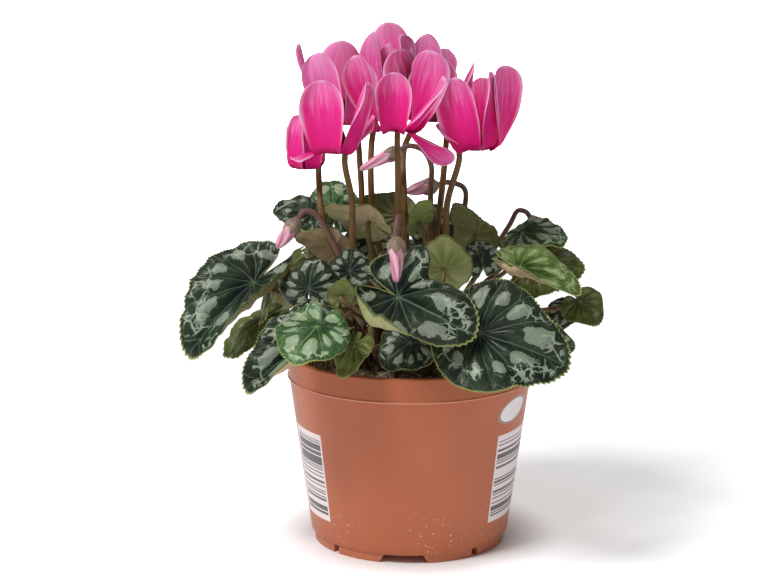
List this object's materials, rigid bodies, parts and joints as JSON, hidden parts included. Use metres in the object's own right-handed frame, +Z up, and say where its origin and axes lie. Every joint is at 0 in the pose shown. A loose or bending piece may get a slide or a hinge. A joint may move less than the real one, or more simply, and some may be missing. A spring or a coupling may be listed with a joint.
{
  "type": "potted cyclamen",
  "caption": "Flowering cyclamen with swept-back pink blooms and silver-marked heart-shaped leaves, planted in a small terracotta-coloured plastic nursery pot.",
  "frame": {"origin": "centre of the pot's foot, on the surface it rests on", "axes": "+Z up along the pot's axis; -Y is the plant's front, +X its right seen from the front"},
  "size_m": [0.2031, 0.1874, 0.2515],
  "materials": {
    "pot": "satin terracotta-coloured plastic",
    "soil": null,
    "tuber": "dull brown skin",
    "leaf": null,
    "scape": "satin brown stem; leather stands in for a stem",
    "petal": "soft pink with paler edges; fabric stands in for petals",
    "bud": "brown stem and calyx with a pale pink tip; leather stands in for them"
  },
  "bodies": {
    "root": {"pot": "pot", "soil": "soil", "tuber": "tuber", "leaf_left_large": "leaf", "leaf_left_behind": "leaf", "leaf_left_under": "leaf", "leaf_left_low": "leaf", "leaf_front_heart": "leaf", "leaf_front_left": "leaf", "leaf_front_mid": "leaf", "leaf_centre_large": "leaf", "leaf_right_large": "leaf", "leaf_right_bright": "leaf", "leaf_right_top": "leaf", "leaf_right_olive": "leaf", "leaf_right_low": "leaf", "leaf_right_pink": "leaf", "leaf_right_edge": "leaf", "leaf_front_shade": "leaf", "leaf_front_olive": "leaf", "leaf_front_pale": "leaf", "leaf_left_pale": "leaf", "leaf_back_left": "leaf", "leaf_back_left_tall": "leaf", "leaf_inner_beige": "leaf", "leaf_inner_top": "leaf", "leaf_inner_centre": "leaf", "leaf_inner_dark": "leaf", "leaf_back_right_pale": "leaf", "leaf_inner_pale": "leaf", "leaf_inner_right": "leaf", "leaf_inner_mid": "leaf", "leaf_back_1": "leaf", "leaf_back_2": "leaf", "leaf_back_3": "leaf", "leaf_back_4": "leaf", "leaf_back_5": "leaf", "scape_far_left": "scape", "scape_left": "scape", "scape_left_high": "scape", "scape_top": "scape", "scape_top_right": "scape", "scape_centre": "scape", "scape_right_shaded": "scape", "scape_right": "scape", "bud_left": "bud", "bud_centre": "bud", "bud_arched": "bud", "bud_dark": "bud", "bud_right": "bud", "bloom_far_left": "petal", "bloom_left": "petal", "bloom_left_high": "petal", "bloom_top": "petal", "bloom_top_right": "petal", "bloom_centre": "petal", "bloom_right_shaded": "petal", "bloom_right": "petal"}
  },
  "joints": []
}
